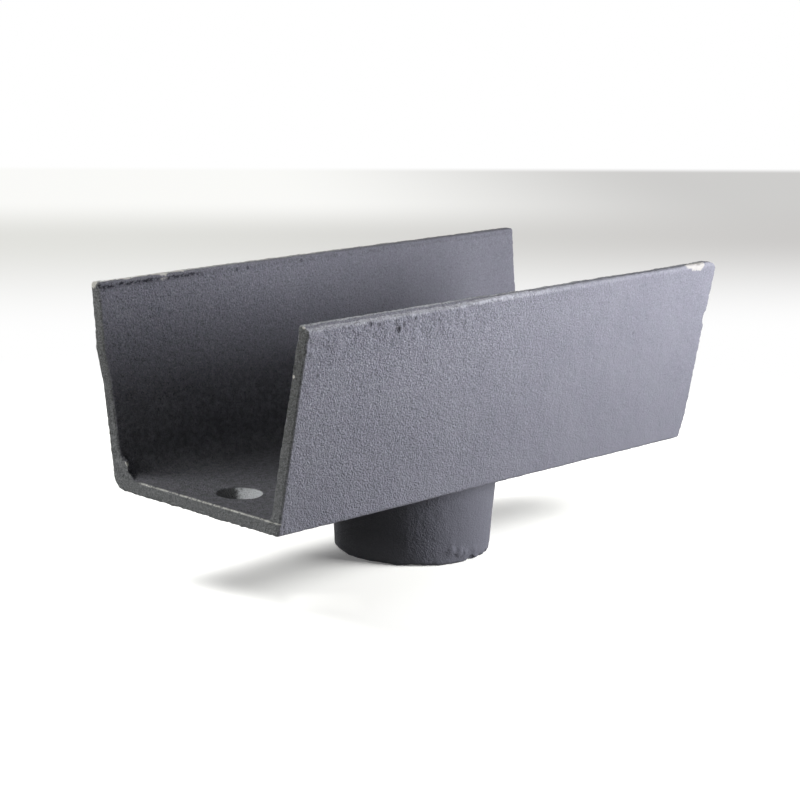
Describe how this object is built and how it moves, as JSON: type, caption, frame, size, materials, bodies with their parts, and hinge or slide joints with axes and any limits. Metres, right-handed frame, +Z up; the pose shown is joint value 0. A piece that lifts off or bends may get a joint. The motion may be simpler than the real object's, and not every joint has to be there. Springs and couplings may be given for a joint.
{
  "type": "gutter outlet",
  "caption": "Cast iron box gutter running outlet: a short drafted trough, open at both ends, with a tapered downpipe spigot below and countersunk bolt holes.",
  "frame": {"origin": "on the spigot's axis, at the spigot's bottom face", "axes": "+X along the trough, +Y towards the back wall, +Z up out of the trough's mouth"},
  "size_m": [0.226, 0.1137, 0.1085],
  "materials": {
    "primed_iron": "grey primer over a sand-cast skin, matt, with bare metal at the knocked corners"
  },
  "bodies": {
    "root": {"outlet_casting": "primed_iron"}
  },
  "joints": []
}
